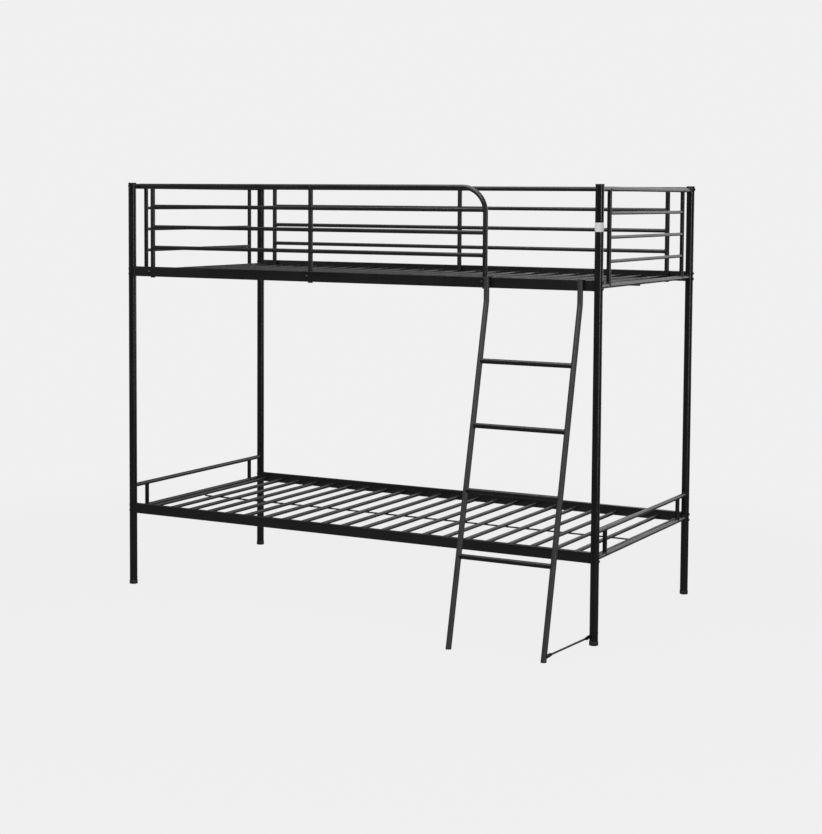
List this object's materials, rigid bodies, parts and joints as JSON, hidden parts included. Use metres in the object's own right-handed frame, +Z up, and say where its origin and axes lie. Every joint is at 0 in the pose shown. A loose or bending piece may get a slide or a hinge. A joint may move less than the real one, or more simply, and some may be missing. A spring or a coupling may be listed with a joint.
{
  "type": "bunk bed with ladder",
  "caption": "Bunk bed in black steel tube: slatted bases, guard rails all round the upper berth, and a sloping ladder that hooks over the upper side rail.",
  "frame": {"origin": "on the floor, at the middle of the footprint with the ladder in place", "axes": "+X along the bed towards the ladder end, +Y from the ladder side to the rear side, +Z up"},
  "size_m": [2.0074, 1.2418, 1.59],
  "materials": {
    "black_powder_coat": "semi-gloss black powder coat with a fine texture",
    "black_fastener": "black zinc-plated steel",
    "cap_plastic": "moulded black plastic",
    "foot_plastic": "moulded black plastic, slightly lighter and duller than the tube",
    "label_paper": "blank white label"
  },
  "bodies": {
    "bed": {"front_guard_bars": "black_powder_coat", "front_guard_rail": "black_powder_coat", "front_guard_uprights": "black_powder_coat", "guard_bolts": "black_fastener", "guard_end_tabs": "black_powder_coat", "guard_nuts": "black_fastener", "left_end_bars": "black_powder_coat", "left_end_top_tube": "black_powder_coat", "left_end_uprights": "black_powder_coat", "left_low_guard_struts": "black_powder_coat", "left_low_guard_tube": "black_powder_coat", "left_lower_end_tube": "black_powder_coat", "left_upper_end_tube": "black_powder_coat", "lower_centre_rod": "black_powder_coat", "lower_front_rail": "black_powder_coat", "lower_rear_rail": "black_powder_coat", "lower_slats": "black_powder_coat", "post_foot_caps": "foot_plastic", "post_front_left": "black_powder_coat", "post_front_right": "black_powder_coat", "post_label": "label_paper", "post_rear_left": "black_powder_coat", "post_rear_right": "black_powder_coat", "post_top_caps": "cap_plastic", "rail_bolts": "black_fastener", "rail_end_saddles": "black_powder_coat", "rail_nuts": "black_fastener", "rear_guard_bars": "black_powder_coat", "rear_guard_rail": "black_powder_coat", "rear_guard_uprights": "black_powder_coat", "right_end_bars": "black_powder_coat", "right_end_top_tube": "black_powder_coat", "right_end_uprights": "black_powder_coat", "right_low_guard_struts": "black_powder_coat", "right_low_guard_tube": "black_powder_coat", "right_lower_end_tube": "black_powder_coat", "right_upper_end_tube": "black_powder_coat", "tie_bar_post_bolt": "black_fastener", "upper_centre_rod": "black_powder_coat", "upper_front_rail": "black_powder_coat", "upper_rear_rail": "black_powder_coat", "upper_slats": "black_powder_coat"},
    "ladder": {"ladder_left_stile": "black_powder_coat", "ladder_right_stile": "black_powder_coat", "ladder_rungs": "black_powder_coat", "ladder_hooks": "black_powder_coat", "ladder_top_caps": "cap_plastic", "ladder_feet": "foot_plastic", "tie_bar": "black_powder_coat", "tie_bar_foot_bolt": "black_fastener", "tie_bar_foot_nut": "black_fastener"}
  },
  "joints": [
    {"name": "ladder_lift", "type": "slide", "parent": "bed", "child": "ladder", "axis": [0, 0, 1], "range_m": [0, 0.12]}
  ]
}
